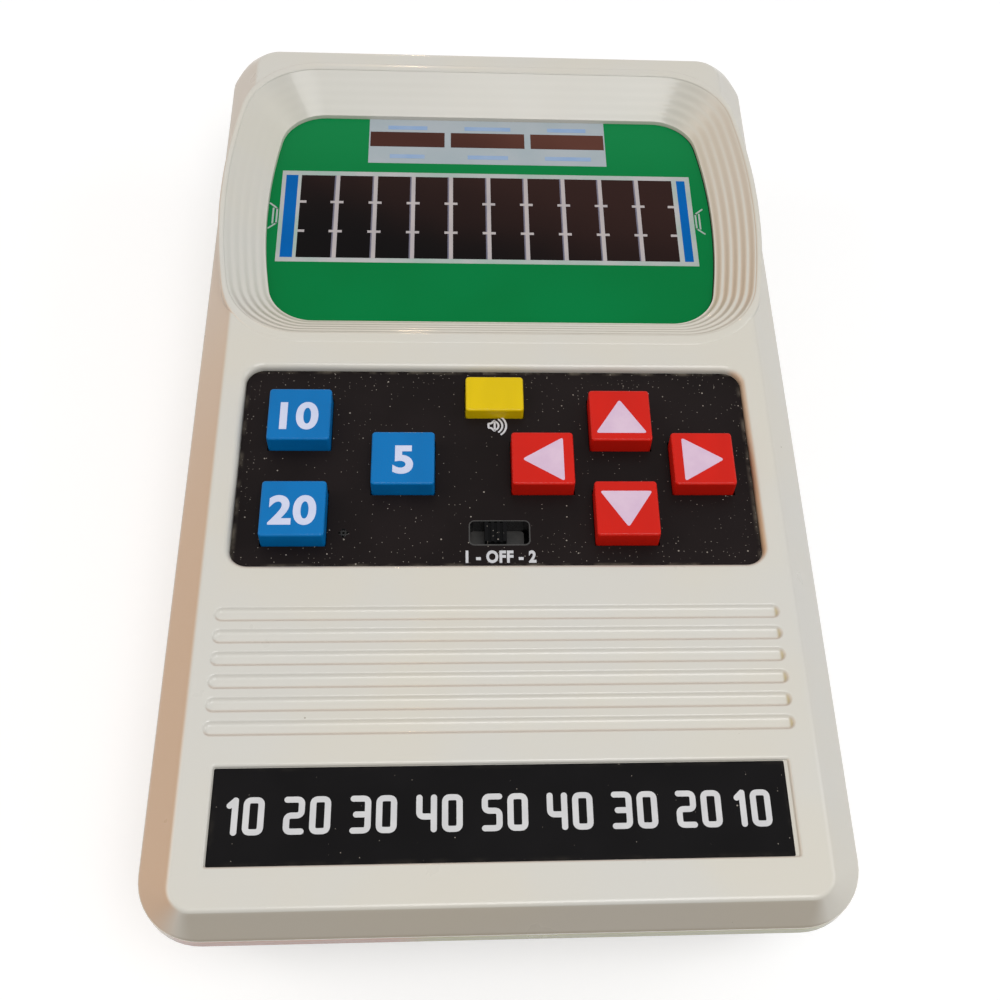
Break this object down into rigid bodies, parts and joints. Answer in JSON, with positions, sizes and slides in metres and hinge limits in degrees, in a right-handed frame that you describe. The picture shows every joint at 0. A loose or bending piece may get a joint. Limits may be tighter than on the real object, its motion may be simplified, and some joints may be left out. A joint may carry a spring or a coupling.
{
  "type": "handheld electronic game",
  "caption": "Handheld electronic game: ivory two-shell case with a stepped display bowl, green field lens, pressable keys, a slide switch and a sliding battery door.",
  "frame": {"origin": "under the middle of the case, on the flat back that it lies on", "axes": "+Z out of the face, +Y from the title plate to the display, +X to the right seen from the face"},
  "size_m": [0.0874, 0.1502, 0.0316],
  "materials": {
    "ivory_plastic": "glossy moulded, slightly yellowed",
    "lens_print": "clear window printed green on its back",
    "filter_red": "dark red tinted sheet",
    "panel_black": "satin black, dusty",
    "title_black": "satin black",
    "key_blue": "glossy moulded",
    "key_red": "glossy moulded",
    "key_yellow": "glossy moulded",
    "knob_black": "moulded, ribbed",
    "mat_rubber": "matt",
    "board_green": "varnished laminate",
    "lamp_red": "moulded",
    "digit_black": "moulded",
    "chip_black": "moulded",
    "capacitor_wrap": "shrunk sleeve",
    "resistor_tan": "lacquered",
    "switch_steel": "plated",
    "speaker_steel": "plated",
    "battery_wrap": "plain wrap",
    "clip_black": "moulded",
    "screw_steel": "plated"
  },
  "bodies": {
    "case": {"front_case": "ivory_plastic", "rear_case": "ivory_plastic", "display_lens": "lens_print", "display_filter": "filter_red", "key_panel": "panel_black", "title_plate": "title_black", "key_mat": "mat_rubber", "main_board": "board_green", "led_dashes": "lamp_red", "score_digits": "digit_black", "game_chip": "chip_black", "capacitors": "capacitor_wrap", "resistors": "resistor_tan", "switch_housing": "switch_steel", "speaker": "speaker_steel", "battery": "battery_wrap", "battery_clip": "clip_black", "case_screws": "screw_steel", "board_screws": "screw_steel"},
    "knob": {"switch_knob": "knob_black"},
    "door": {"battery_door": "ivory_plastic"},
    "up_key": {"key_up": "key_red"},
    "down_key": {"key_down": "key_red"},
    "left_key": {"key_left": "key_red"},
    "right_key": {"key_right": "key_red"},
    "top_blue_key": {"key_blue_top": "key_blue"},
    "middle_blue_key": {"key_blue_middle": "key_blue"},
    "bottom_blue_key": {"key_blue_bottom": "key_blue"},
    "yellow_key": {"key_yellow": "key_yellow"}
  },
  "joints": [
    {"name": "up_key_press", "type": "slide", "parent": "case", "child": "up_key", "axis": [0, 0, -1], "range_m": [0, 0.0012], "stiffness_N_per_m": 300, "springref_m": -0.0005},
    {"name": "down_key_press", "type": "slide", "parent": "case", "child": "down_key", "axis": [0, 0, -1], "range_m": [0, 0.0012], "stiffness_N_per_m": 300, "springref_m": -0.0005},
    {"name": "left_key_press", "type": "slide", "parent": "case", "child": "left_key", "axis": [0, 0, -1], "range_m": [0, 0.0012], "stiffness_N_per_m": 300, "springref_m": -0.0005},
    {"name": "right_key_press", "type": "slide", "parent": "case", "child": "right_key", "axis": [0, 0, -1], "range_m": [0, 0.0012], "stiffness_N_per_m": 300, "springref_m": -0.0005},
    {"name": "top_blue_key_press", "type": "slide", "parent": "case", "child": "top_blue_key", "axis": [0, 0, -1], "range_m": [0, 0.0012], "stiffness_N_per_m": 300, "springref_m": -0.0005},
    {"name": "middle_blue_key_press", "type": "slide", "parent": "case", "child": "middle_blue_key", "axis": [0, 0, -1], "range_m": [0, 0.0012], "stiffness_N_per_m": 300, "springref_m": -0.0005},
    {"name": "bottom_blue_key_press", "type": "slide", "parent": "case", "child": "bottom_blue_key", "axis": [0, 0, -1], "range_m": [0, 0.0012], "stiffness_N_per_m": 300, "springref_m": -0.0005},
    {"name": "yellow_key_press", "type": "slide", "parent": "case", "child": "yellow_key", "axis": [0, 0, -1], "range_m": [0, 0.0012], "stiffness_N_per_m": 300, "springref_m": -0.0005},
    {"name": "switch_slide", "type": "slide", "parent": "case", "child": "knob", "axis": [1, 0, 0], "range_m": [-0.0018, 0.0029]},
    {"name": "door_slide", "type": "slide", "parent": "case", "child": "door", "axis": [0, -1, 0], "range_m": [0, 0.034]}
  ]
}
